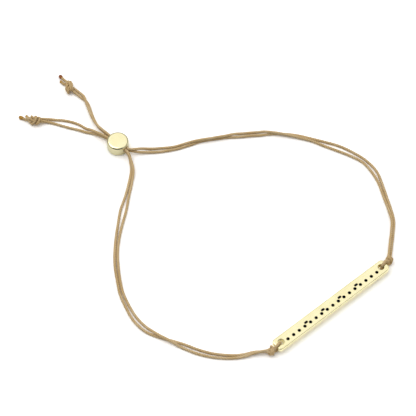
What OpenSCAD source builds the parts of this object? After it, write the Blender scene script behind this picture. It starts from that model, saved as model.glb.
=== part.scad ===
// Cord bracelet with an engraved bar and a sliding bead, lying open on a flat surface.
// Millimetres. +Z is up, the bar runs along X, the bead lies towards +Y.
// The origin is on the surface, in the middle of the box round the bar and the bead.

/* [Bar] */
// Length of the bar
bar_l = 40; // [38:0.5:41]
// Width of the bar
bar_w = 3.85; // [3.65:0.05:4]
// Thickness of the bar
bar_t = 1.5; // [1.3:0.1:1.6]
// Height of the bar's underside, which the cord's eyes hold clear of the surface
bar_rise = 0.8; // [0.8:0.05:0.9]
// Radius of the bar's corners, seen from above
bar_corner_r = 1.1; // [0.7:0.1:1.3]
// Radius of the bar's softened edges
bar_edge_r = 0.4; // [0.2:0.05:0.5]
// Diameter of the hole at each end
hole_d = 1.6; // [1.5:0.1:1.8]
// Distance from the bar's end to the centre of its hole
hole_inset = 2; // [1.9:0.1:2.2]
// Width of the bevel round each mouth of a hole
hole_bevel = 0.12; // [0.05:0.01:0.15]

/* [Marks] */
// Number of dots in the row
dot_n = 17; // [9:2:17]
// Distance from one dot to the next
dot_pitch = 2; // [1.8:0.1:2]
// Diameter of a dot
dot_d = 0.95; // [0.6:0.05:1]
// Place of the row of dots across the bar
dot_y = -0.5; // [-0.6:0.05:-0.4]
// Number of dashes, set over every third gap between dots
dash_n = 4; // [2:2:4]
// Length of a dash
dash_l = 1.2; // [0.8:0.1:1.3]
// Width of a dash
dash_w = 0.7; // [0.4:0.05:0.7]
// Place of the row of dashes across the bar
dash_y = 0.2; // [0.15:0.05:0.3]
// Depth of the pits
mark_depth = 0.25; // [0.2:0.05:0.3]

/* [Slider] */
// Diameter of the bead
slider_d = 6.2; // [5.9:0.1:6.5]
// Height of the bead
slider_h = 3.4; // [3.2:0.1:3.8]
// Radius of the bead's lower edge
slider_foot_r = 0.4; // [0.2:0.05:0.5]
// Radius of the bead's upper edge, which is rounded more
slider_top_r = 0.75; // [0.4:0.05:0.8]
// Diameter of the bore that the four strands pass through
bore_d = 2; // [1.95:0.05:2.1]
// Angle of the bore, from the Y axis
bore_turn = 11; // [9:1:13]

/* [Cord] */
// Diameter of a strand
cord_d = 0.75; // [0.7:0.01:0.76]
// Sides of a strand
cord_sides = 8; // [8:1:10]
// Rings for each stretch between two points of a route
route_steps = 2; // [2:1:3]
// Sides of a knot
knot_sides = 20; // [16:2:24]

/* [Layout] */
// Distance over the bar and the bead, along Y
loop_span = 83; // [82.7:0.1:83.3]
// Place of the bead along X
slider_x = -11.7; // [-11.9:0.1:-11.5]

/* [Hidden] */

$fn = 40;
gap = 0.04;
// Clearance of a strand's end from its knot, wide enough for the bend there
knot_gap = 0.26;
past = 1;
fill_gap = 0.02;
// Thickness of a slice of the bar
slice = 0.01;
// How far the fill of a mark lies below the bar's face
fill_drop = 0.03;
gold = [0.93, 0.87, 0.66];
black = [0.05, 0.05, 0.05];
tan = [0.76, 0.62, 0.42];
brown = [0.48, 0.28, 0.12];

cord_r = cord_d / 2;
// Height of a strand's middle where it lies on the surface, a hair clear of it
seat = cord_r + 0.02;
// Distance between two strands that touch
beside = cord_d + gap;
// Distance of a pair of strands from the middle of the bore, before it, inside it and past it
aside_before = 0.6;
aside = 0.44;
aside_past = 0.53;
bar_y = (bar_w - loop_span) / 2;
bar_top = bar_rise + bar_t;
hole_x = bar_l / 2 - hole_inset;
// How far off the bar's middle each eye passes the bar's end
right_eye_side = 0.35;
left_eye_side = -0.45;
slider_y = (loop_span - slider_d) / 2;

// Which side of a pair of strands a strand lies on
A = 1;
B = -1;

// Routes of the two cords, each a pair of strands, from the knot at the bar to the bead and
// from the bead to the knot of the tail. A point is [x, y, lift, spread, turn]: lift is the
// height of the lower strand over its seat, spread the distance between the two strands'
// middles, and turn the way from strand B to strand A: 0 to the left, 90 straight up and
// 180 to the right, looking along the route.
right_loop = [
    [ 23.9, -37.0, 0.30, 0.8,  50], [ 26.1, -35.0, 0.10, 0.8,  45], [ 28.8, -32.6, 0, 0.8,  45],
    [ 31.3, -30.1, 0, 0.8,  40], [ 33.2, -26.8, 0, 0.8,  20], [ 35.2, -22.6, 0, 0.8,   0],
    [ 37.1, -18.6, 0, 0.9,   0], [ 38.4, -14.7, 0, 1.3,   0], [ 38.6, -10.2, 0, 1.1,   0],
    [ 37.5,  -6.2, 0, 1.4,   0], [ 36.0,  -2.5, 0, 1.7,   0], [ 34.1,   1.0, 0, 1.4,   0],
    [ 32.1,   4.6, 0, 0.8,  10], [ 29.8,   8.0, 0, 0.8,  20], [ 27.2,  11.1, 0, 0.8,  50],
    [ 24.4,  13.8, 0, 0.8, 105], [ 21.2,  16.4, 0, 1.1, 180], [ 17.8,  18.7, 0, 1.1, 180],
    [ 14.4,  20.7, 0, 0.8, 110], [ 11.0,  22.6, 0, 0.8,  90], [  7.6,  24.5, 0, 0.8,  90],
    [  4.0,  26.0, 0, 0.8, 140], [  0.4,  27.5, 0, 0.9, 180], [ -3.2,  29.6, 0, 1.2, 180],
    [ -6.4,  31.8, 0.2, 1.1, 170]];
right_tail = [
    [-12.0, 47.0, 0.05, 0.8,  75], [-11.6, 49.4, 0, 0.8,  65], [-11.0, 51.4, 0, 0.8,  60],
    [-10.1, 53.7, 0, 0.8,  50], [-9.4, 55.6, 0, 0.85, 55], [-9.1, 57.2, 0, 0.8, 100],
    [ -9.1, 58.8, 0.15, 0.85, 165]];
left_loop = [
    [-24.8, -37.0, 0.15, 0.8,  45], [-27.4, -35.8, 0, 0.8,  20], [-29.8, -34.3, 0, 0.8,   0],
    [-32.4, -32.0, 0, 1.0,   0], [-34.6, -29.5, 0, 1.1,   0], [-36.6, -26.4, 0, 1.2,   0],
    [-38.3, -23.0, 0, 1.1,   0], [-40.0, -19.6, 0, 0.8,  60], [-41.7, -16.2, 0, 0.8, 120],
    [-42.8, -12.5, 0, 1.2, 180], [-43.0,  -8.5, 0, 1.2, 180], [-42.2,  -4.3, 0, 1.0, 180],
    [-40.9,   0.0, 0, 0.9, 180], [-38.9,   3.8, 0, 0.8, 180], [-36.6,   7.6, 0, 0.9, 180],
    [-33.9,  11.2, 0, 0.8, 180], [-30.8,  14.5, 0, 0.9, 180], [-27.4,  17.6, 0, 1.2, 180],
    [-24.0,  20.5, 0, 1.6, 180], [-20.5,  23.3, 0, 1.0, 180], [-17.0,  26.2, 0, 0.8, 180],
    [-13.9,  29.1, 0.1, 0.8, 140], [-12.3,  31.9, 0.3, 0.8, 105]];
left_tail = [
    [-14.3, 46.3, 0.20, 0.8, 120], [-15.5, 48.6, 0, 1.2, 180], [-16.4, 50.8, 0, 1.8, 180],
    [-17.6, 52.8, 0, 2.1, 180], [-18.9, 54.7, 0, 1.9, 180], [-20.4, 56.6, 0, 1.3, 180],
    [-21.8, 58.1, 0.25, 0.95, 180]];

// Knots. The pair of strands runs in along the heading, which is an angle from the X axis.
// Lean is how far the wraps lie back along the knot for each millimetre to its left, turn is
// the way from strand B to strand A where the pair runs in, as in a route, and in and out are
// how far to the left of the knot's middle the strands run in and out.
// [x, y, heading, length, width, height, lean, turn, in, out]
RIGHT_BAR = [21.5, -38.95, -142, 2.3, 2.3, 2.2, 0.1, 50, 0, 0];
LEFT_BAR = [-21.45, -39.45, -33, 1.9, 2.9, 2.2, 0.1, 90, 0, 0];
RIGHT_TAIL = [-10.05, 63.05, 119, 1.8, 4.2, 2.2, 0.3, 180, 0.25, -1.1];
LEFT_TAIL = [-24.8, 60.2, 143, 3.4, 3.3, 2.2, 0.3, 180, 0, -0.5];

// Outline of a knot pulled tight, with the ridges of its wraps side by side, as [along, out]
// in shares of its half length and half width
knot_outline = [
    [-1, 0.5], [-0.94, 0.72], [-0.8, 0.88], [-0.62, 0.94], [-0.44, 0.9], [-0.33, 0.82],
    [-0.22, 0.94], [0, 1], [0.22, 0.94], [0.33, 0.82], [0.44, 0.9], [0.62, 0.94], [0.8, 0.88],
    [0.94, 0.72], [1, 0.5]];

// Tips of the tails, strand A's and then strand B's: the radius and length of the melted end,
// and the points [x, y, z] of the strand on from the knot
right_tips = [
    [0.42, 0.85, [[-10.3, 65.2, 0.62], [-10.42, 65.8, 0.52], [-10.42, 66.15, 0.49]]],
    [0.54, 1.1, [[-9.6, 65.6, 1.1], [-9.5, 66.7, 0.7], [-9.5, 67.5, 0.6]]]];
left_tips = [
    [0.52, 1.25, [[-26.35, 62.25, 0.6], [-26.6, 62.8, 0.57], [-26.8, 63.3, 0.57]]],
    [0.42, 0.85, [[-25.98, 62.05, 1.42], [-25.85, 62.4, 1.25]]]];

function unit(v) = v / norm(v);

// Smooth curve through the rows of a list, of any width, with steps points for each stretch
function smooth_at(p, i, t) =
    let (n = len(p) - 1, a = p[max(i - 1, 0)], b = p[i], c = p[min(i + 1, n)], d = p[min(i + 2, n)])
    0.5 * (2 * b + (c - a) * t + (2 * a - 5 * b + 4 * c - d) * t * t + (3 * b - a - 3 * c + d) * t * t * t);
function smooth(p, steps) = concat(
    [for (i = [0:len(p) - 2], k = [0:steps - 1]) smooth_at(p, i, k / steps)], [p[len(p) - 1]]);

function directions(p) =
    let (n = len(p) - 1)
    [for (i = [0:n]) unit(p[min(i + 1, n)] - p[max(i - 1, 0)])];

// A side vector for each point of a line, carried along it without twist
function square_to(v, dir) = unit(v - (v * dir) * dir);
function carried(dirs, first) =
    [for (i = 0, v = square_to(first, dirs[0]); i < len(dirs);
        v = square_to(v, dirs[min(i + 1, len(dirs) - 1)]), i = i + 1) v];

// Solid through a list of rings of m points each, with flat ends
module skin(rings, m) {
    last = len(rings) - m;
    walls = [for (i = [0:m:last - m], k = [0:m - 1], half = [0, 1])
        let (a = i + k, b = i + (k + 1) % m)
        half == 0 ? [a, a + m, b] : [b, a + m, b + m]];
    polyhedron(rings, concat([[for (k = [0:m - 1]) k]], walls, [[for (k = [m - 1:-1:0]) last + k]]));
}

// Tube of the cord's thickness along a line of points
module tube(line, first = [0, 0, 1]) {
    dirs = directions(line);
    sides = carried(dirs, first);
    skin([for (i = [0:len(line) - 1], k = [0:cord_sides - 1])
        let (a = 360 * (k + 0.5) / cord_sides)
        line[i] + cord_r * (cos(a) * sides[i] + sin(a) * cross(dirs[i], sides[i]))], cord_sides);
}

// Where a pair of strands goes through the bead: which is 1 for the right cord and -1 for
// the left, along the distance past the bead's middle and out that from the bore's middle
function in_bore(which, along, out) = [
    slider_x + which * out * cos(bore_turn) - along * sin(bore_turn),
    slider_y + which * out * sin(bore_turn) + along * cos(bore_turn),
    (slider_h - beside) / 2 - seat, beside, 90];

// Point of a pair of strands on the line through its knot, at a distance from the knot's middle
function at_knot(k, along) = [
    k[0] + along * cos(k[2]) - k[8] * sin(k[2]), k[1] + along * sin(k[2]) + k[8] * cos(k[2]),
    k[5] / 2 + gap - beside / 2 * abs(sin(k[7])) - seat, beside, k[7]];

function route(bar_knot, loop, which, tail, tail_knot) = concat(
    [at_knot(bar_knot, -bar_knot[3] / 2 - knot_gap)], loop,
    [in_bore(which, -0.7 * slider_d, aside_before), in_bore(which, -0.4 * slider_d, aside),
        in_bore(which, 0.4 * slider_d, aside), in_bore(which, 0.7 * slider_d, aside_past)], tail,
    [at_knot(tail_knot, -tail_knot[3] / 2 - knot_gap)]);

// One strand's line of points: its pair's route, and half of the spread to its own side
function strand_line(rows, which) =
    let (line = smooth(rows, route_steps), dirs = directions([for (q = line) [q[0], q[1]]]))
    [for (i = [0:len(line) - 1])
        let (q = line[i], half = which * q[3] / 2,
            z = seat + q[2] + q[3] / 2 * abs(sin(q[4])) + half * sin(q[4]))
        [q[0] - half * cos(q[4]) * dirs[i][1], q[1] + half * cos(q[4]) * dirs[i][0], z]];

// Where a strand comes out of its knot, in which the two have changed places, so that B is on top
function knot_exit(k, which) = let (along = k[3] / 2 + knot_gap) [
    k[0] + along * cos(k[2]) - k[9] * sin(k[2]), k[1] + along * sin(k[2]) + k[9] * cos(k[2]),
    k[5] / 2 + gap - which * beside / 2];

// A knot of two strands pulled tight, as one solid with the ridges of its wraps
module knot_body(k) {
    along = [cos(k[2]), sin(k[2]), 0];
    left = [-along[1], along[0], 0];
    skin([for (q = knot_outline, j = [0:knot_sides - 1])
        let (a = 360 * (j + 0.5) / knot_sides, v = q[1] * k[4] / 2 * cos(a),
            u = q[0] * k[3] / 2 - k[6] * v * (1 - q[0] * q[0]))
        [k[0], k[1], k[5] / 2 + gap] + u * along + v * left + [0, 0, q[1] * k[5] / 2 * sin(a)]],
        knot_sides);
}

// The eye of a bar knot: from the upper strand over the bar's end, down the hole and back
// under the end to the lower strand. end is 1 for the right end of the bar and -1 for the left,
// and side is how far off the bar's middle the eye passes its end.
function eye_line(k, end, side) =
    let (over = bar_top + cord_r + gap, under = bar_rise / 2,
        in_hole = hole_inset - hole_d / 2 + cord_r + gap,
        points = [[-0.4, over - 0.2, 1], [0.3, over + 0.02, 0.8], [in_hole - 0.5, over, 0.4],
            [in_hole, bar_top, 0.1], [in_hole + 0.05, bar_rise + bar_t / 2, 0],
            [in_hole, bar_rise, 0.1], [in_hole - 0.5, under, 0.4], [0.3, under, 0.8],
            [-0.3, under, 1]])
    smooth(concat([knot_exit(k, B)],
        [for (p = points) [end * (bar_l / 2 - p[0]), bar_y + p[2] * side, p[1]]],
        [knot_exit(k, A)]), route_steps);

module bar_knot(k, end, side) {
    color(tan) {
        knot_body(k);
        tube(eye_line(k, end, side), [0, 1, 0]);
    }
}

// A tip of a tail, from where its strand comes out of the knot to the melted end
function tip_line(k, which, tip) = smooth(concat([knot_exit(k, which)], tip[2]), route_steps);

module tail_knot(k, tips) {
    color(tan) {
        knot_body(k);
        tube(tip_line(k, A, tips[0]));
        tube(tip_line(k, B, tips[1]));
    }
}

// Melted end of a tip, in line with its strand
module melted_end(k, which, tip) {
    line = tip_line(k, which, tip);
    last = len(line) - 1;
    dir = unit(line[last] - line[last - 1]);
    color(brown) translate(line[last] + gap * dir)
        rotate([0, acos(dir[2]), atan2(dir[1], dir[0])]) {
            cylinder(r = tip[0], h = tip[1] - tip[0], $fn = 24);
            translate([0, 0, tip[1] - tip[0]]) sphere(tip[0], $fn = 24);
        }
}

// Rectangle with round corners, centred on the origin
module rounded(w, h, r) {
    square([w - 2 * r, h], center = true);
    square([w, h - 2 * r], center = true);
    for (x = [-1, 1], y = [-1, 1]) translate([x * (w / 2 - r), y * (h / 2 - r)]) circle(r);
}

// The bar without holes or pits, its edges rounded all round: slices of the bar, drawn in more
// and more towards its two faces, with their hull
module bar_blank() {
    mid = bar_rise + bar_t / 2;
    hull() for (face = [-1, 1], a = [0:15:90]) {
        inset = bar_edge_r * (1 - cos(a));
        translate([0, bar_y, mid + face * (bar_t / 2 - bar_edge_r * (1 - sin(a)) - slice / 2)])
            linear_extrude(slice, center = true)
                rounded(bar_l - 2 * inset, bar_w - 2 * inset, bar_corner_r - inset);
    }
}

module hole(x) {
    translate([x, bar_y, bar_rise - past]) cylinder(d = hole_d, h = bar_t + 2 * past);
    translate([x, bar_y, bar_top - hole_bevel])
        cylinder(d1 = hole_d, d2 = hole_d + 4 * hole_bevel, h = 2 * hole_bevel);
    translate([x, bar_y, bar_rise - hole_bevel])
        cylinder(d1 = hole_d + 4 * hole_bevel, d2 = hole_d, h = 2 * hole_bevel);
}

// The row of dots, and a dash over every third gap between them, as upright solids
module marks(inset, low, high) {
    for (i = [0:dot_n - 1])
        translate([(i - (dot_n - 1) / 2) * dot_pitch, bar_y + dot_y, low])
            cylinder(d = dot_d - 2 * inset, h = high - low, $fn = 20);
    for (i = [0:dash_n - 1])
        translate([(i - (dash_n - 1) / 2) * 3 * dot_pitch, bar_y + dash_y, low])
            linear_extrude(high - low) {
                square([dash_l - dash_w, dash_w - 2 * inset], center = true);
                for (end = [-1, 1]) translate([end * (dash_l - dash_w) / 2, 0])
                    circle(d = dash_w - 2 * inset, $fn = 20);
            }
}

module bar() {
    color(gold) difference() {
        bar_blank();
        for (end = [-1, 1]) hole(end * hole_x);
        marks(0, bar_top - mark_depth, bar_top + past);
    }
}

module mark_fill() {
    color(black) marks(fill_gap, bar_top - mark_depth + fill_gap, bar_top - fill_drop);
}

module slider() {
    r = slider_d / 2;
    color(gold) translate([slider_x, slider_y, 0]) difference() {
        rotate_extrude() hull() {
            square([r - slider_foot_r, slider_h / 2]);
            translate([r - slider_foot_r, slider_foot_r]) circle(slider_foot_r);
            square([r - slider_top_r, slider_h]);
            translate([r - slider_top_r, slider_h - slider_top_r]) circle(slider_top_r);
        }
        translate([0, 0, slider_h / 2]) rotate([90, 0, bore_turn])
            cylinder(d = bore_d, h = slider_d + 2 * past, center = true);
    }
}

RIGHT_ROUTE = route(RIGHT_BAR, right_loop, 1, right_tail, RIGHT_TAIL);
LEFT_ROUTE = route(LEFT_BAR, left_loop, -1, left_tail, LEFT_TAIL);

module strand(rows, which) { color(tan) tube(strand_line(rows, which)); }

module right_strand_a() { strand(RIGHT_ROUTE, A); }
module right_strand_b() { strand(RIGHT_ROUTE, B); }
module left_strand_a() { strand(LEFT_ROUTE, A); }
module left_strand_b() { strand(LEFT_ROUTE, B); }
module right_bar_knot() { bar_knot(RIGHT_BAR, 1, right_eye_side); }
module left_bar_knot() { bar_knot(LEFT_BAR, -1, left_eye_side); }
module right_tail_knot() { tail_knot(RIGHT_TAIL, right_tips); }
module left_tail_knot() { tail_knot(LEFT_TAIL, left_tips); }
module right_tip_a() { melted_end(RIGHT_TAIL, A, right_tips[0]); }
module right_tip_b() { melted_end(RIGHT_TAIL, B, right_tips[1]); }
module left_tip_a() { melted_end(LEFT_TAIL, A, left_tips[0]); }
module left_tip_b() { melted_end(LEFT_TAIL, B, left_tips[1]); }

bar();
mark_fill();
slider();
right_strand_a();
right_strand_b();
left_strand_a();
left_strand_b();
right_bar_knot();
left_bar_knot();
right_tail_knot();
left_tail_knot();
right_tip_a();
right_tip_b();
left_tip_a();
left_tip_b();
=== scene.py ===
"""Cord bracelet with an engraved bar and a sliding bead, lying open on a pale surface.

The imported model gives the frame. Routes are written in millimetres, as in the part's source,
and every point is turned into metres before it reaches Blender.
"""
import math

import bmesh
import bpy
import numpy as np
from mathutils import Matrix, Vector


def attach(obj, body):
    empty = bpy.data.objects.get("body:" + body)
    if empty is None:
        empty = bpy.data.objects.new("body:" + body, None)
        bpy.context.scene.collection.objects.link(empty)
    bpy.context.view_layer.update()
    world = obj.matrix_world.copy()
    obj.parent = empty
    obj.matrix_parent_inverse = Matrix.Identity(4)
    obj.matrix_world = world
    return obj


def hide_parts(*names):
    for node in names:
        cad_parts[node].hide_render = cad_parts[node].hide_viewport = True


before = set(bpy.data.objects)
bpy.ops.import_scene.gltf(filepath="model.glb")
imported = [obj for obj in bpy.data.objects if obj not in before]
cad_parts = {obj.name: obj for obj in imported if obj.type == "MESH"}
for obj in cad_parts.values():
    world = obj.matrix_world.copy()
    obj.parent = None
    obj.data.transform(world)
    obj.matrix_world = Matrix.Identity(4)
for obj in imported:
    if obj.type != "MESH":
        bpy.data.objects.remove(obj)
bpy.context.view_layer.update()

MM = 0.001

# Sizes of the part's source, in millimetres
BAR_L, BAR_W, BAR_T, BAR_RISE = 40.0, 3.85, 1.5, 0.8
HOLE_D, HOLE_INSET = 1.6, 2.0
SLIDER_D, SLIDER_H, BORE_D, BORE_TURN = 6.2, 3.4, 2.0, 11.0
BEAD_TOP_R, BEAD_FOOT_R, MOUTH_R = 0.75, 0.4, 0.1
CORD_D, GAP = 0.75, 0.04
SPAN, SLIDER_X = 83.0, -11.7
KNOT_GAP = 0.26
ASIDE_BEFORE, ASIDE, ASIDE_PAST = 0.6, 0.44, 0.53

CORD_R = CORD_D / 2
SEAT = CORD_R + 0.02
BESIDE = CORD_D + GAP
BAR_Y = (BAR_W - SPAN) / 2
BAR_TOP = BAR_RISE + BAR_T
SLIDER_Y = (SPAN - SLIDER_D) / 2

# Which side of a pair of strands a strand lies on, and its letter in names
A, B = 1, -1
LETTERS = {A: "a", B: "b"}

# Rows of a route: x, y, lift, spread and turn, as in the part's source
RIGHT_LOOP = [
    (23.9, -37.0, 0.30, 0.8, 50), (26.1, -35.0, 0.10, 0.8, 45), (28.8, -32.6, 0, 0.8, 45),
    (31.3, -30.1, 0, 0.8, 40), (33.2, -26.8, 0, 0.8, 20), (35.2, -22.6, 0, 0.8, 0),
    (37.1, -18.6, 0, 0.9, 0), (38.4, -14.7, 0, 1.3, 0), (38.6, -10.2, 0, 1.1, 0),
    (37.5, -6.2, 0, 1.4, 0), (36.0, -2.5, 0, 1.7, 0), (34.1, 1.0, 0, 1.4, 0),
    (32.1, 4.6, 0, 0.8, 10), (29.8, 8.0, 0, 0.8, 20), (27.2, 11.1, 0, 0.8, 50),
    (24.4, 13.8, 0, 0.8, 105), (21.2, 16.4, 0, 1.1, 180), (17.8, 18.7, 0, 1.1, 180),
    (14.4, 20.7, 0, 0.8, 110), (11.0, 22.6, 0, 0.8, 90), (7.6, 24.5, 0, 0.8, 90),
    (4.0, 26.0, 0, 0.8, 140), (0.4, 27.5, 0, 0.9, 180), (-3.2, 29.6, 0, 1.2, 180),
    (-6.4, 31.8, 0.2, 1.1, 170)]
RIGHT_TAIL = [
    (-12.0, 47.0, 0.05, 0.8, 75), (-11.6, 49.4, 0, 0.8, 65), (-11.0, 51.4, 0, 0.8, 60),
    (-10.1, 53.7, 0, 0.8, 50), (-9.4, 55.6, 0, 0.85, 55), (-9.1, 57.2, 0, 0.8, 100),
    (-9.1, 58.8, 0.15, 0.85, 165)]
LEFT_LOOP = [
    (-24.8, -37.0, 0.15, 0.8, 45), (-27.4, -35.8, 0, 0.8, 20), (-29.8, -34.3, 0, 0.8, 0),
    (-32.4, -32.0, 0, 1.0, 0), (-34.6, -29.5, 0, 1.1, 0), (-36.6, -26.4, 0, 1.2, 0),
    (-38.3, -23.0, 0, 1.1, 0), (-40.0, -19.6, 0, 0.8, 60), (-41.7, -16.2, 0, 0.8, 120),
    (-42.8, -12.5, 0, 1.2, 180), (-43.0, -8.5, 0, 1.2, 180), (-42.2, -4.3, 0, 1.0, 180),
    (-40.9, 0.0, 0, 0.9, 180), (-38.9, 3.8, 0, 0.8, 180), (-36.6, 7.6, 0, 0.9, 180),
    (-33.9, 11.2, 0, 0.8, 180), (-30.8, 14.5, 0, 0.9, 180), (-27.4, 17.6, 0, 1.2, 180),
    (-24.0, 20.5, 0, 1.6, 180), (-20.5, 23.3, 0, 1.0, 180), (-17.0, 26.2, 0, 0.8, 180),
    (-13.9, 29.1, 0.1, 0.8, 140), (-12.3, 31.9, 0.3, 0.8, 105)]
LEFT_TAIL = [
    (-14.3, 46.3, 0.20, 0.8, 120), (-15.5, 48.6, 0, 1.2, 180), (-16.4, 50.8, 0, 1.8, 180),
    (-17.6, 52.8, 0, 2.1, 180), (-18.9, 54.7, 0, 1.9, 180), (-20.4, 56.6, 0, 1.3, 180),
    (-21.8, 58.1, 0.25, 0.95, 180)]

# A knot: x, y, heading, length, width, height, lean, turn, in and out, as in the part's source.
# Size is the room for its wraps, lean how far they lie back along the knot for each millimetre
# to its left, roll how far it is turned round its length, and flip mirrors it.
KNOTS = {
    "right_bar": dict(row=(21.5, -38.95, -142, 2.3, 2.3, 2.2, 0.1, 50, 0, 0),
                      size=(2.5, 2.6, 2.3), lean=0.1, roll=225, flip=-1),
    "left_bar": dict(row=(-21.45, -39.45, -33, 1.9, 2.9, 2.2, 0.1, 90, 0, 0),
                     size=(2.1, 3.0, 2.3), lean=0.1, roll=45, flip=-1),
    "right_tail": dict(row=(-10.05, 63.05, 119, 1.8, 4.2, 2.2, 0.3, 180, 0.25, -1.1),
                       size=(2.6, 4.3, 2.4), lean=0.45, roll=225, flip=1),
    "left_tail": dict(row=(-24.8, 60.2, 143, 3.4, 3.3, 2.2, 0.3, 180, 0, -0.5),
                      size=(3.7, 3.3, 2.4), lean=0.2, roll=225, flip=-1),
}
# How far off the bar's middle each eye passes the bar's end
EYE_SIDE = {"right_bar": 0.35, "left_bar": -0.45}

# A tip: the radius and length of its melted end, how brown that is and its strand's points
TIPS = {
    ("right", A): (0.42, 0.85, 0.1,
                   [(-10.3, 65.2, 0.62), (-10.42, 65.8, 0.52), (-10.42, 66.15, 0.49)]),
    ("right", B): (0.54, 1.1, 1.0,
                   [(-9.6, 65.6, 1.1), (-9.5, 66.7, 0.7), (-9.5, 67.5, 0.6)]),
    ("left", A): (0.52, 1.25, 0.3,
                  [(-26.35, 62.25, 0.6), (-26.6, 62.8, 0.57), (-26.8, 63.3, 0.57)]),
    ("left", B): (0.42, 0.85, 0.1,
                  [(-25.98, 62.05, 1.42), (-25.85, 62.4, 1.25)]),
}
# The seeds of the melted ends' uneven shapes start here
MELTED_SEED = 7

# The share of its thickness that is left to a strand pulled tight in a knot
SQUEEZED = 0.86

CAMERA_AT, CAMERA_LOOKS_AT, CAMERA_LENS = (-191.7, -217.6, 466.4), (-5.16, 6.27, 0.0), 170.6

# The disc light over the part: its place in metres, diameter in metres and power in watts
KEY_AT, KEY_SIZE, KEY_POWER = (-0.16, 0.26, 0.69), 0.6, 1.1
# The world's brightness, and how light a grey it looks behind the floor
WORLD_STRENGTH, BACKDROP = 1.08, 0.97
# The side on which the room is dark up to a greater height
DARK_SIDE = (-0.640, -0.768)
# How bright the floor is to the camera, to the cord and the paper, and to the metal in front of
# the bar and in front of the bead; those last two are painted reflections, a brighter floor seen
# in the bar's sides and a darker one in the bead's
FLOOR_SEEN, FLOOR_DIFFUSE, FLOOR_BY_BAR, FLOOR_BY_BEAD = 1.35, 1.0, 1.5, 0.88

# The cord's lay: how far along it one ply goes once round, the number of plies, the points round
# the cord, and its radius over the plies and how deep the grooves are, as shares of its radius
PLY_PITCH, PLY_N, PLY_SIDES, CROWN, GROOVE = 2.2, 3, 18, 1.06, 0.12
# How far a strand's plies are turned from the start, in radians
PLY_START = 0.9
# Distance between the rings of a cord
RING = 0.13
# The sides of the round bead and of its bore
BEAD_SIDES, BORE_SIDES = 128, 64
# Edges bent by more than this many degrees are shaded sharp
SHARP_FROM = 32


def unit(v):
    """Each vector with a length of one."""
    return v / np.linalg.norm(v, axis=-1, keepdims=True)


def smooth(rows, steps):
    """A smooth curve through the rows, of any width, with steps points for each stretch."""
    p = np.array(rows, float)
    last = len(p) - 1
    out = []
    for i in range(last):
        a, b, c, d = p[max(i - 1, 0)], p[i], p[i + 1], p[min(i + 2, last)]
        for t in np.arange(steps) / steps:
            out.append(0.5 * (2 * b + (c - a) * t + (2 * a - 5 * b + 4 * c - d) * t * t
                              + (3 * b - a - 3 * c + d) * t ** 3))
    return np.array(out + [p[last]])


def distances(line):
    """How far along the line each of its points lies."""
    return np.concatenate([[0], np.cumsum(np.linalg.norm(np.diff(line[:, :3], axis=0), axis=1))])


def evenly(line, n):
    """The line again as n evenly spaced points."""
    along = distances(line)
    at = np.linspace(0, along[-1], n)
    return np.stack([np.interp(at, along, line[:, k]) for k in range(line.shape[1])], axis=1)


def spaced(line, step):
    """The line again with its points evenly spaced, about step apart."""
    return evenly(line, max(2, int(math.ceil(distances(line)[-1] / step)) + 1))


def eased(line, rounds):
    """The line with its small kinks evened out and its ends kept."""
    line = line.copy()
    for _ in range(rounds):
        line[1:-1] = line[1:-1] / 2 + (line[:-2] + line[2:]) / 4
    return line


def directions(line):
    """The direction of the line at each of its points."""
    n = len(line) - 1
    return unit(np.array([line[min(i + 1, n)] - line[max(i - 1, 0)] for i in range(n + 1)]))


def carried(dirs, first=(0.0, 0.0, 1.0)):
    """A side vector for each point of a line, carried along it without twist."""
    v = np.array(first, float)
    out = []
    for d in dirs:
        v = unit(v - (v @ d) * d)
        out.append(v)
    return np.array(out)


def in_bore(which, along, out):
    """A row of a route at the bead's bore, so far along it and aside from its middle."""
    turn = math.radians(BORE_TURN)
    return (SLIDER_X + which * out * math.cos(turn) - along * math.sin(turn),
            SLIDER_Y + which * out * math.sin(turn) + along * math.cos(turn),
            (SLIDER_H - BESIDE) / 2 - SEAT, BESIDE, 90)


def at_knot(k, along):
    """A row of a route at a knot, so far along it from its middle."""
    heading, turn = math.radians(k[2]), math.radians(k[7])
    return (k[0] + along * math.cos(heading) - k[8] * math.sin(heading),
            k[1] + along * math.sin(heading) + k[8] * math.cos(heading),
            k[5] / 2 + GAP - BESIDE / 2 * abs(math.sin(turn)) - SEAT, BESIDE, k[7])


def route(bar_knot, loop, which, tail, tail_knot):
    """Rows from the edge of one knot to the edge of the other."""
    def into(k):
        return [at_knot(k, -k[3] / 2), at_knot(k, -k[3] / 2 - KNOT_GAP)]
    bore = [in_bore(which, -0.7 * SLIDER_D, ASIDE_BEFORE), in_bore(which, -0.4 * SLIDER_D, ASIDE),
            in_bore(which, 0.4 * SLIDER_D, ASIDE), in_bore(which, 0.7 * SLIDER_D, ASIDE_PAST)]
    return into(bar_knot) + loop + bore + tail + into(tail_knot)[::-1]


def strand_line(rows, which):
    """One strand's middle line: its pair's route, and half of the spread to its own side."""
    q = smooth(rows, steps=12)
    dirs = directions(q[:, :2])
    turn = np.radians(q[:, 4])
    half = which * q[:, 3] / 2
    z = SEAT + q[:, 2] + q[:, 3] / 2 * np.abs(np.sin(turn)) + half * np.sin(turn)
    x = q[:, 0] - half * np.cos(turn) * dirs[:, 1]
    y = q[:, 1] + half * np.cos(turn) * dirs[:, 0]
    return eased(spaced(np.stack([x, y, z], axis=1), RING), rounds=30)


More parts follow.
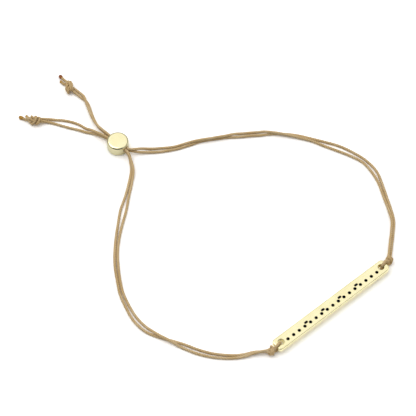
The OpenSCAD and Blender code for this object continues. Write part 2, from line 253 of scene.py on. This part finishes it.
def start_of_knot(n):
    """Middle lines of a pair of strands in a wide open overhand knot, in cord diameters.

    The knot is a curve of three polynomials with a straight lead at each end. The strands lie
    side by side in its plane, a little more than a cord diameter apart.
    """
    fine, open_size, lead_length, half_apart = 300, 1.9, 8, 0.55
    t = np.linspace(-2.3, 2.3, fine)
    line = open_size * np.stack([1.5 * (t ** 3 - 3 * t), 1.1 * (t ** 4 - 4 * t ** 2),
                                 0.32 * (10 * t - t ** 5)], axis=1)
    lead = np.linspace(lead_length, 0.4, 12)[:, None] * np.array([1.0, 0, 0])
    line = evenly(np.concatenate([line[0] - lead, line, line[-1] + lead[::-1]]), fine)
    line = evenly(eased(line, rounds=80), n)
    beside = unit(np.cross((0.0, 0.0, 1.0), directions(line)))
    return np.concatenate([line + half_apart * beside, line - half_apart * beside])


def overhand(n=84, rounds=2200, length=25.0, stiffness=0.25):
    """The knot pulled tight: two lines of n points and the given length, in cord diameters.

    Each round makes the strands a little shorter, pushes strands that touch apart, straightens
    them a little and draws their ends apart.
    """
    shortening = 0.75 * rounds  # rounds in which the strands get shorter
    near_enough = 2.2  # square of the distance within which points are watched for a touch
    along_enough = 1.5  # points of one strand closer than this along it may touch
    push_share = 1.4  # push given to points that touch, over what parts them just so
    pull, to_middle, end_half_apart = 0.02, 0.97, 0.51  # what holds the ends of the pair
    p = start_of_knot(n)
    wide, tight = distances(p[:n])[-1] / (n - 1), length / (n - 1)
    which, at = np.arange(2 * n) // n, np.arange(2 * n) % n
    first, second = np.where((at[:, None] + n * which[:, None] < at + n * which)
                             & ((which[:, None] != which)
                                | (np.abs(at[:, None] - at) * tight >= along_enough)))
    strands = (slice(0, n), slice(n, 2 * n))
    for i in range(rounds):
        step = wide * (tight / wide) ** min(1.0, i / shortening)
        for repeat in range(5):
            for strand in strands:
                q = p[strand]
                for odd in (0, 1):
                    a, b = q[odd:-1:2], q[odd + 1::2]
                    v = b - a
                    size = np.linalg.norm(v, axis=1, keepdims=True)
                    v = 0.5 * (size - step) / size * v
                    a += v
                    b -= v
            if repeat == 0:
                v = p[second] - p[first]
                near = (v * v).sum(axis=1) < near_enough
                one, two = first[near], second[near]
            v = p[two] - p[one]
            size = np.sqrt((v * v).sum(axis=1))
            touch = size < 1.0
            if touch.any():
                v = 0.5 * ((1 - size[touch]) / size[touch])[:, None] * v[touch]
                push, count = np.zeros_like(p), np.zeros(2 * n)
                for index, sign in ((one[touch], -1), (two[touch], 1)):
                    np.add.at(push, index, sign * v)
                    np.add.at(count, index, 1)
                p += push_share * push / np.maximum(count, 1)[:, None]
        for strand in strands:
            q = p[strand]
            q[1:-1] += stiffness * ((q[:-2] + q[2:]) / 2 - q[1:-1])
        for a, sign in ((0, -1), (n - 1, 1)):
            middle, apart = (p[a] + p[a + n]) / 2, p[a] - p[a + n]
            apart[0] = 0
            middle[1:] *= to_middle
            middle[0] += pull * sign
            apart *= end_half_apart / np.linalg.norm(apart)
            p[a], p[a + n] = middle + apart, middle - apart
    return p[:n], p[n:]


TIGHT = overhand()


def wraps(knot):
    """The tight knot fitted into a knot's place, as one line of points and radius per strand.

    Its straight leads, which run along the knot, are cut off beyond the outermost bends.
    """
    leads_from = 0.75  # share of a stretch's direction along the knot from which it is a lead
    k = knot["row"]
    cos, sin = math.cos(math.radians(knot["roll"])), math.sin(math.radians(knot["roll"]))
    lines = [np.stack([q[:, 0], knot["flip"] * (q[:, 1] * cos - q[:, 2] * sin),
                       q[:, 1] * sin + q[:, 2] * cos], axis=1) for q in TIGHT]
    bends = np.concatenate([q[np.abs(directions(q)[:, 0]) < leads_from] for q in lines])
    low, high = bends[:, 0].min(), bends[:, 0].max()
    lines = [q[np.argmax(q[:, 0] > low):len(q) - np.argmax(q[::-1, 0] < high)] for q in lines]
    every = np.concatenate(lines)
    low, high = every.min(axis=0), every.max(axis=0)
    thick = SQUEEZED * CORD_R
    room = np.array(knot["size"]) / 2 - thick
    h = math.radians(k[2])
    out = {}
    for which, q in zip((A, B), lines):
        q = (q - (low + high) / 2) / ((high - low) / 2) * room
        u, v = q[:, 0] - knot["lean"] * q[:, 1], q[:, 1]
        out[which] = np.stack([k[0] + u * math.cos(h) - v * math.sin(h),
                               k[1] + u * math.sin(h) + v * math.cos(h),
                               knot["size"][2] / 2 + GAP + q[:, 2],
                               np.full(len(q), thick)], axis=1)[::2]
    return out


def knot_exit(k, which):
    """Where a strand comes out of its knot, as one row."""
    h, along = math.radians(k[2]), k[3] / 2 + KNOT_GAP
    return np.array([[k[0] + along * math.cos(h) - k[9] * math.sin(h),
                      k[1] + along * math.sin(h) + k[9] * math.cos(h),
                      k[5] / 2 + GAP - which * BESIDE / 2, CORD_R]])


def eye_rows(end, side):
    """The single strand over the bar's end, down its hole and back under the end."""
    over = BAR_TOP + CORD_R + GAP
    under = BAR_RISE / 2
    in_hole = HOLE_INSET - HOLE_D / 2 + CORD_R + GAP
    rows = [(-0.4, over - 0.2, 1), (0.3, over + 0.02, 0.8), (in_hole - 0.5, over, 0.4),
            (in_hole, BAR_TOP, 0.1), (in_hole + 0.05, BAR_RISE + BAR_T / 2, 0),
            (in_hole, BAR_RISE, 0.1), (in_hole - 0.5, under, 0.4), (0.3, under, 0.8),
            (-0.3, under, 1)]
    return np.array([(end * (BAR_L / 2 - r[0]), BAR_Y + side * r[2], r[1], CORD_R) for r in rows])


def whole_line(*pieces):
    """Several stretches, each of x, y, z and radius, as one smooth line."""
    rows = np.concatenate(pieces)
    return eased(spaced(smooth(rows, steps=6), RING), rounds=4)


def linked(name, data):
    """A new object with this data, in the scene."""
    obj = bpy.data.objects.new(name, data)
    bpy.context.scene.collection.objects.link(obj)
    return obj


def aimed(obj, at, direction):
    """Puts a camera or light at a place in metres, looking in a direction."""
    obj.location = at
    obj.rotation_mode = "QUATERNION"
    obj.rotation_quaternion = direction.to_track_quat("-Z", "Y")


def grid_mesh(name, rings, uvs, attributes):
    """A closed tube from rings of points, with a UV and further attributes for each point."""
    n, m = rings.shape[:2]
    verts = [Vector(p) for p in (rings.reshape(-1, 3) * MM)]
    faces = [(i * m + j, i * m + (j + 1) % m, (i + 1) * m + (j + 1) % m, (i + 1) * m + j)
             for i in range(n - 1) for j in range(m)]
    faces += [tuple(range(m - 1, -1, -1)), tuple((n - 1) * m + j for j in range(m))]
    mesh = bpy.data.meshes.new(name)
    mesh.from_pydata(verts, [], faces)
    # The face that closes each ring ends at v = 1 instead of going back to 0
    layer = mesh.uv_layers.new(name="lay")
    flat = uvs.reshape(-1, 2)
    for face in mesh.polygons:
        for c in face.loop_indices:
            i = mesh.loops[c].vertex_index
            u, v = flat[i]
            closing = len(face.vertices) == 4 and max(q % m for q in face.vertices) == m - 1
            if closing and i % m == 0:
                v += 1.0
            layer.data[c].uv = (u, v)
    for key, values in attributes.items():
        layer = mesh.attributes.new(key, "FLOAT", "POINT")
        layer.data.foreach_set("value", np.ascontiguousarray(values, np.float32).ravel())
    mesh.polygons.foreach_set("use_smooth", [True] * len(mesh.polygons))
    mesh.update()
    return linked(name, mesh)


def ply_tube(name, line, radius, start=0.0):
    """A cord of three twisted plies along a line, given as the line's points and its radius."""
    dirs = directions(line)
    sides = carried(dirs)
    ups = np.cross(dirs, sides)
    radius = np.broadcast_to(radius, len(line))
    along = distances(line)
    j = np.arange(PLY_SIDES) / PLY_SIDES
    depth = 1 - np.abs(np.cos(PLY_N * math.pi * j))
    turn = 2 * math.pi * (j[None, :] + along[:, None] / PLY_PITCH) + start
    r = radius[:, None] * (CROWN - GROOVE * depth[None, :])
    rings = line[:, None, :] + r[..., None] * (
        np.cos(turn)[..., None] * sides[:, None, :] + np.sin(turn)[..., None] * ups[:, None, :])
    uvs = np.stack(np.broadcast_arrays(along[:, None], j[None, :]), axis=2)
    return grid_mesh(name, rings, uvs, {"groove": np.broadcast_to(depth, r.shape)})


def ride(obj, slot, *nodes):
    """Puts a piece under the one body and hides the nodes that it replaces. The slot is not used.
    """
    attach(obj, "root")
    if nodes:
        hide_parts(*nodes)
    return obj


class Nodes:
    """A short way to write the nodes of a material or the world."""

    def __init__(self, owner, shader):
        owner.use_nodes = True
        self.owner, self.tree = owner, owner.node_tree
        self.shader = self.tree.nodes[shader]

    def give(self, socket, value):
        """Links another node's output to a socket, or sets its value."""
        if isinstance(value, bpy.types.NodeSocket):
            self.tree.links.new(value, socket)
        else:
            socket.default_value = value

    def add(self, kind, inputs=None, **settings):
        """A new node with these inputs and settings."""
        node = self.tree.nodes.new(kind)
        for key, value in settings.items():
            setattr(node, key, value)
        for key, value in (inputs or {}).items():
            self.give(node.inputs[key], value)
        return node

    def set(self, **values):
        """Gives the shader's sockets their values."""
        for key, value in values.items():
            self.give(self.shader.inputs[key.replace("_", " ")], value)

    def math(self, operation, a, b=0.0):
        return self.add("ShaderNodeMath", {0: a, 1: b}, operation=operation).outputs[0]

    def mix(self, share, a, b):
        return self.add("ShaderNodeMix", {0: share, 6: a, 7: b}, data_type="RGBA").outputs[2]

    def ranged(self, value, low, high, to_low=0.0, to_high=1.0, kind="LINEAR"):
        """The value brought from one range to another, and kept inside it."""
        return self.add("ShaderNodeMapRange", {0: value, 1: low, 2: high, 3: to_low, 4: to_high},
                        interpolation_type=kind).outputs[0]

    def place(self):
        """Where a point of the object lies, in metres."""
        return self.add("ShaderNodeTexCoord").outputs["Object"]

    def stretched(self, vector, scale):
        return self.add("ShaderNodeMapping", {"Vector": vector, "Scale": scale}).outputs[0]

    def noise(self, vector, scale, detail):
        """Uneven patches, about scale of them to each unit of the vector."""
        return self.add("ShaderNodeTexNoise", {"Vector": vector, "Scale": scale,
                                               "Detail": detail}).outputs["Fac"]

    def attribute(self, name):
        return self.add("ShaderNodeAttribute", attribute_name=name).outputs["Fac"]

    def bump(self, height, strength, distance):
        node = self.add("ShaderNodeBump", {"Height": height, "Strength": strength,
                                           "Distance": distance})
        self.set(Normal=node.outputs[0])


def new_material(name):
    return Nodes(bpy.data.materials.new(name), "Principled BSDF")


def colour(r, g, b):
    return (r, g, b, 1.0)


def grey(level):
    return colour(level, level, level)


def cord_material():
    """Waxed cord: fine fibres along its plies, painted shade in the grooves, with paler worn
    patches.
    """
    warm, deep = colour(0.70, 0.52, 0.275), colour(0.62, 0.44, 0.205)
    worn, streak = colour(0.80, 0.66, 0.43), colour(0.42, 0.25, 0.09)
    # painted shade for the grooves between the plies
    groove_shade = colour(0.36, 0.19, 0.055)
    n = new_material("tan_cord")
    lay, place = n.add("ShaderNodeUVMap", uv_map="lay").outputs[0], n.place()
    fibres = n.noise(n.stretched(lay, (2.2, 46.0, 1.0)), 1.0, 3.0)
    patches = n.noise(place, 420.0, 2.0)
    drift = n.noise(place, 60.0, 1.0)
    base = n.mix(n.ranged(drift, 0.35, 0.65), warm, deep)
    base = n.mix(n.ranged(patches, 0.45, 0.7, 0, 0.5), base, worn)
    base = n.mix(n.ranged(fibres, 0.4, 0.75, 0, 0.35), base, streak)
    # Painted shade: the grooves between the plies are darkened by their depth
    base = n.mix(n.ranged(n.attribute("groove"), 0.45, 1.0, 0, 0.75), base, groove_shade)
    n.set(Base_Color=base, Roughness=n.ranged(fibres, 0.3, 0.7, 0.5, 0.68),
          Specular_IOR_Level=0.3, Sheen_Weight=0.12, Sheen_Roughness=0.5)
    n.bump(fibres, 0.5, 0.00004)
    return n.owner


def melted_material():
    """Melted cord, from pale to dark brown by each piece's tone, with paler spots."""
    pale, pale_deep = colour(0.56, 0.33, 0.05), colour(0.38, 0.22, 0.03)
    brown, brown_deep = colour(0.38, 0.11, 0.012), colour(0.25, 0.065, 0.006)
    n = new_material("melted_cord")
    spots = n.noise(n.place(), 1800.0, 3.0)
    cloud = n.ranged(n.noise(n.place(), 700.0, 1.0), 0.35, 0.65)
    base = n.mix(n.attribute("tone"), n.mix(cloud, pale, pale_deep),
                 n.mix(cloud, brown, brown_deep))
    base = n.mix(n.ranged(spots, 0.55, 0.75, 0, 0.4), base, colour(0.46, 0.22, 0.04))
    n.set(Base_Color=base, Roughness=n.ranged(spots, 0.3, 0.7, 0.3, 0.45), Specular_IOR_Level=0.3)
    n.bump(spots, 0.3, 0.00005)
    return n.owner


def gold_material():
    """Polished pale gold with a faint brushed grain along the bar."""
    bright, deep = colour(0.93, 0.865, 0.545), colour(0.90, 0.825, 0.49)
    n = new_material("pale_gold")
    brushed = n.noise(n.stretched(n.place(), (70.0, 900.0, 900.0)), 1.0, 3.0)
    cloud = n.noise(n.place(), 260.0, 2.0)
    n.set(Base_Color=n.mix(n.ranged(cloud, 0.35, 0.65), bright, deep), Metallic=1.0,
          Roughness=n.ranged(n.math("ADD", brushed, cloud), 0.7, 1.3, 0.13, 0.21))
    n.bump(brushed, 0.12, 0.00002)
    return n.owner


def enamel_material():
    """Black enamel with a fine grain, nearly without shine."""
    n = new_material("black_enamel")
    grain = n.noise(n.place(), 3000.0, 2.0)
    n.set(Base_Color=n.mix(grain, colour(0.0015, 0.001, 0.001), colour(0.003, 0.002, 0.002)),
          Roughness=n.ranged(grain, 0.3, 0.7, 0.35, 0.5), Specular_IOR_Level=0.02)
    n.bump(grain, 0.2, 0.00002)
    return n.owner


def floor_material():
    """White paper, so bright to look at that only the deep shadows show.

    Seen in the metal it is painted brighter in front of the bar than in front of the bead.
    """
    n = new_material("pale_floor")
    path = n.add("ShaderNodeLightPath").outputs
    y = n.add("ShaderNodeSeparateXYZ", {0: n.place()}).outputs["Y"]
    # Painted reflection: the floor that the metal sees is brighter by the bar and darker by the
    # bead
    painted_reflection = n.mix(n.ranged(y, -0.03, 0.02), grey(FLOOR_BY_BAR), grey(FLOOR_BY_BEAD))
    seen = n.mix(path["Is Diffuse Ray"], grey(FLOOR_SEEN), grey(FLOOR_DIFFUSE))
    n.set(Base_Color=n.mix(path["Is Glossy Ray"], seen, painted_reflection), Roughness=0.9,
          Specular_IOR_Level=0.0)
    return n.owner


TAN = cord_material()
MELTED = melted_material()
GOLD = gold_material()
ENAMEL = enamel_material()


def dressed(obj, material):
    """Gives the object this material only."""
    obj.data.materials.clear()
    obj.data.materials.append(material)
    return obj


# Camera; the cords were measured against its view
camera = linked("camera", bpy.data.cameras.new("camera"))
aimed(camera, Vector(CAMERA_AT) * MM, (Vector(CAMERA_LOOKS_AT) - Vector(CAMERA_AT)) * MM)
camera.data.lens = CAMERA_LENS
camera.data.sensor_width = 36.0
camera.data.clip_start, camera.data.clip_end = 0.01, 20.0
bpy.context.scene.camera = camera

# Cords: four strands from the knots at the bar, through the bead, to the knots of the tails
ROWS = {name: knot["row"] for name, knot in KNOTS.items()}
ROUTES = {
    "right": route(ROWS["right_bar"], RIGHT_LOOP, 1, RIGHT_TAIL, ROWS["right_tail"]),
    "left": route(ROWS["left_bar"], LEFT_LOOP, -1, LEFT_TAIL, ROWS["left_tail"]),
}
cords = {}
for side, rows in ROUTES.items():
    for which, letter in LETTERS.items():
        line = strand_line(rows, which)
        cord = ply_tube(f"cord_{side}_{letter}", line, CORD_R, start=PLY_START * which)
        dressed(cord, TAN)
        ride(cord, "cord", f"{side}_strand_{letter}")
        cords[side, which] = (cord, line)


def strand_end(side, which, end):
    """The end of a strand as a row: 0 is the end at the bar and -1 the end at the tail's knot."""
    return np.append(cords[side, which][1][end], CORD_R)[None, :]


def bar_knot(side, end):
    """A knot at the bar, whose two strands are one cord that goes on as an eye through the hole."""
    name = f"{side}_bar"
    wrapped = wraps(KNOTS[name])
    over = max(wrapped, key=lambda which: wrapped[which][-1, 2])
    line = whole_line(strand_end(side, over, 0), wrapped[over], eye_rows(end, EYE_SIDE[name]),
                      wrapped[-over][::-1], strand_end(side, -over, 0))
    return ply_tube(f"{name}_knot_cord", line[:, :3], line[:, 3])


def tail_knot(side, which):
    """One strand of a tail's knot, which goes on to its melted end, and the strand's line."""
    wrapped = wraps(KNOTS[f"{side}_tail"])[which]
    points = np.array([(*p, CORD_R) for p in TIPS[side, which][3]])
    line = whole_line(strand_end(side, which, -1), wrapped,
                      knot_exit(KNOTS[f"{side}_tail"]["row"], which), points)
    name = f"{side}_tail_knot_cord_{LETTERS[which]}"
    return ply_tube(name, line[:, :3], line[:, 3]), line[:, :3]


def melted_end(name, line, radius, length, tone, seed):
    """A cord end melted into a slightly uneven bead, in line with the cord."""
    n, m = 22, 28  # rings, and points round each of them
    overlap = 0.12  # how far it reaches back round the cord
    neck, neck_share = 0.35, 0.84  # length of its narrower start, and the share of its radius there
    bluntness = 2.6  # 2 would be round
    least_r, least_z = 0.012, 0.02  # it keeps a tiny flat end and stays above the surface
    dirs = unit(line[-1] - line[-6])
    side = unit(np.cross(dirs, (0.0, 0.0, 1.0)))
    up = np.cross(side, dirs)
    rng = np.random.default_rng(seed)
    waves = [(rng.integers(1, 4), rng.uniform(0, 6.28), rng.uniform(0.015, 0.04)) for _ in range(3)]
    a = 2 * math.pi * np.arange(m) / m
    rings = []
    for i in range(n):
        x = (length + overlap) * (1 - math.cos(math.pi * i / (n - 1))) / 2 - overlap
        if x < neck:
            grown = math.sin(math.pi / 2 * max(0.0, x) / neck)
            r = radius * (neck_share + (1 - neck_share) * grown)
        else:
            from_middle = min(1.0, abs(x / length - 0.5) * 2)
            r = radius * math.sqrt(max(0.0, 1 - from_middle ** bluntness))
        swell = 1 + sum(s * np.cos(f * a + p + 2.5 * x) for f, p, s in waves)
        rings.append(line[-1] + x * dirs + (max(r, least_r) * swell)[:, None] * (
            np.cos(a)[:, None] * side + np.sin(a)[:, None] * up))
    rings = np.array(rings)
    rings[..., 2] = np.maximum(rings[..., 2], least_z)
    obj = grid_mesh(name, rings[:, ::-1], np.zeros(rings.shape[:2] + (2,)),
                    {"tone": np.full(rings.shape[:2], tone)})
    return dressed(obj, MELTED)


for side, end in (("right", 1), ("left", -1)):
    ride(dressed(bar_knot(side, end), TAN), "cord", f"{side}_bar_knot")

tail_pieces = {"right": [], "left": []}
for (side, which), (radius, length, tone, points) in TIPS.items():
    knot, line = tail_knot(side, which)
    ride(dressed(knot, TAN), "cord", f"{side}_tail_knot")
    letter = LETTERS[which]
    tip = melted_end(f"{side}_melted_end_{letter}", line, radius, length, tone,
                     MELTED_SEED + which + len(side))
    ride(tip, "melted_cord", f"{side}_tip_{letter}")
    tail_pieces[side] += [knot, tip]


def shaded(obj):
    """Round faces shaded smoothly, flat faces flat."""
    obj.data.shade_smooth()
    obj.data.set_sharp_from_angle(angle=math.radians(SHARP_FROM))
    normals = obj.modifiers.new("normals", "WEIGHTED_NORMAL")
    normals.weight, normals.keep_sharp = 100, True
    return obj


def turned(name, profile, sides):
    """A solid turned about the Z axis from a profile of radius and height, closed at the axis."""
    bm = bmesh.new()
    points = [bm.verts.new((r * MM, 0, z * MM)) for r, z in profile]
    edges = [bm.edges.new(pair) for pair in zip(points, points[1:])]
    bmesh.ops.spin(bm, geom=points + edges, axis=(0, 0, 1), cent=(0, 0, 0), steps=sides,
                   angle=2 * math.pi, use_merge=True)
    bmesh.ops.remove_doubles(bm, verts=bm.verts, dist=1e-7)
    bmesh.ops.recalc_face_normals(bm, faces=bm.faces)
    mesh = bpy.data.meshes.new(name)
    bm.to_mesh(mesh)
    bm.free()
    return linked(name, mesh)


def arc(radius, height, r, start, end):
    """Points of a rounded edge round a middle at radius and height, from start to end degrees."""
    return [(radius + r * math.cos(math.radians(a)), height + r * math.sin(math.radians(a)))
            for a in np.linspace(start, end, 13)]


# The bead, with a well rounded upper edge and a bore with softened mouths
half = SLIDER_D / 2
outline = ([(0, 0)] + arc(half - BEAD_FOOT_R, BEAD_FOOT_R, BEAD_FOOT_R, -90, 0)
           + arc(half - BEAD_TOP_R, SLIDER_H - BEAD_TOP_R, BEAD_TOP_R, 0, 90) + [(0, SLIDER_H)])
bead = turned("bead", outline, BEAD_SIDES)
bead.location = (SLIDER_X * MM, SLIDER_Y * MM, 0)
bore = turned("bore", [(0, -SLIDER_D), (BORE_D / 2, -SLIDER_D), (BORE_D / 2, SLIDER_D),
                       (0, SLIDER_D)], BORE_SIDES)
bore.matrix_world = (Matrix.Translation((SLIDER_X * MM, SLIDER_Y * MM, SLIDER_H / 2 * MM))
                     @ Matrix.Rotation(math.radians(BORE_TURN), 4, "Z")
                     @ Matrix.Rotation(math.radians(90), 4, "X"))
bpy.context.view_layer.update()
cut = bead.modifiers.new("bore", "BOOLEAN")
cut.object, cut.operation, cut.solver = bore, "DIFFERENCE", "EXACT"
whole = bpy.data.meshes.new_from_object(bead.evaluated_get(bpy.context.evaluated_depsgraph_get()))
bead.modifiers.clear()
bead.data = whole
bpy.data.objects.remove(bore)
soft = bead.modifiers.new("mouths", "BEVEL")
soft.width, soft.segments, soft.limit_method = MOUTH_R * MM, 3, "ANGLE"
soft.angle_limit = math.radians(45)
dressed(bead, GOLD)
ride(shaded(bead), "gold_metal", "slider")

# The bar and the fill of its marks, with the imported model's own shapes
for name, material, slot in (("bar", GOLD, "gold_metal"), ("mark_fill", ENAMEL, "black_enamel")):
    shaded(dressed(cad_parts[name], material))

bpy.ops.mesh.primitive_plane_add(size=6.0, location=(0, 0, 0))
floor = bpy.context.object
floor.name = "floor"
dressed(floor, floor_material())

key = linked("key", bpy.data.lights.new("key", "AREA"))
key.data.shape = "DISK"
key.data.size = KEY_SIZE
key.data.energy = KEY_POWER
aimed(key, KEY_AT, -Vector(KEY_AT))

# A white room, dark at the horizon and dark up to a greater height on the side of DARK_SIDE. Of
# each direction of length one, z is the part upwards and level the part sideways. The camera
# sees a plain light grey in place of the room.
room = bpy.data.worlds.new("studio")
bpy.context.scene.world = room
n = Nodes(room, "Background")
x, y, z = n.add("ShaderNodeSeparateXYZ",
                {0: n.add("ShaderNodeTexCoord").outputs["Generated"]}).outputs
to_x, to_y = (float(value) for value in unit(np.array(DARK_SIDE)))
towards = n.math("ADD", n.math("MULTIPLY", x, to_x), n.math("MULTIPLY", y, to_y))
level = n.math("SQRT", n.math("SUBTRACT", 1.001, n.math("MULTIPLY", z, z)))
dark = n.math("MULTIPLY",
              n.ranged(n.math("DIVIDE", towards, level), 0.40, 0.80, 0, 0.97, "SMOOTHSTEP"),
              n.ranged(z, 0.72, 0.88, 1, 0, "SMOOTHSTEP"))
horizon = n.ranged(z, 0.15, 0.67, 0.05, 1, "SMOOTHSTEP")
n.set(Color=n.math("MULTIPLY", horizon, n.math("SUBTRACT", 1.0, dark)), Strength=WORLD_STRENGTH)
plain = n.add("ShaderNodeBackground", {"Color": grey(BACKDROP)})
both = n.add("ShaderNodeMixShader", {
    0: n.add("ShaderNodeLightPath").outputs["Is Camera Ray"],
    1: n.shader.outputs[0],
    2: plain.outputs[0],
})
n.give(n.tree.nodes["World Output"].inputs["Surface"], both.outputs[0])

bpy.context.scene.view_settings.view_transform = "Standard"
